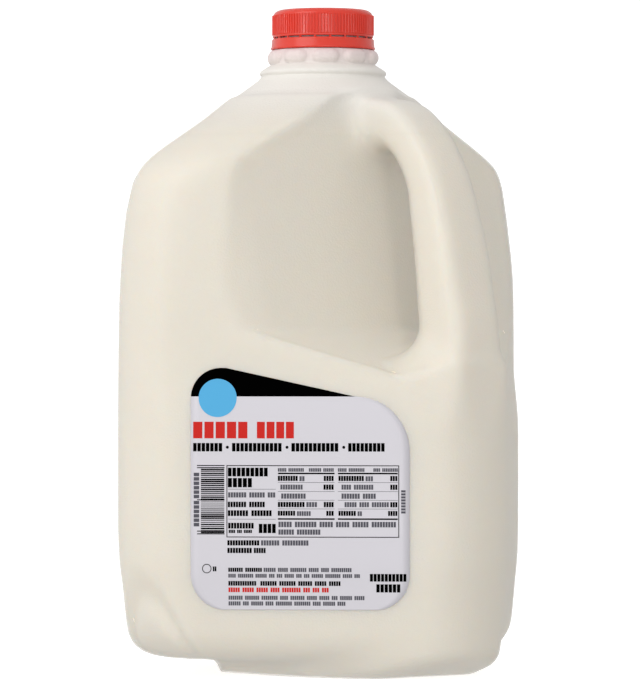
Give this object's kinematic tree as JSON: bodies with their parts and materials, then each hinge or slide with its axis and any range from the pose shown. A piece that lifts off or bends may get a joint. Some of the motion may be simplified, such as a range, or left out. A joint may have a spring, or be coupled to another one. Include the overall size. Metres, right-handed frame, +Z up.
{
  "type": "plastic milk jug",
  "caption": "Full translucent plastic milk jug with a hollow corner handle, ribbed screw cap with tamper band and a printed side label.",
  "frame": {"origin": "centre of the base, on the surface the jug stands on", "axes": "+Z up through the cap, +X towards the corner with the handle"},
  "size_m": [0.1838, 0.1838, 0.2537],
  "materials": {
    "bottle_plastic": "translucent natural polyethylene, fine matte texture",
    "milk_liquid": "opaque off-white liquid",
    "cap_plastic": "satin orange-red polyethylene",
    "label_paper": "thin printed film, satin"
  },
  "bodies": {
    "root": {"bottle": "bottle_plastic", "milk": "milk_liquid", "cap": "cap_plastic", "label": "label_paper"}
  },
  "joints": []
}
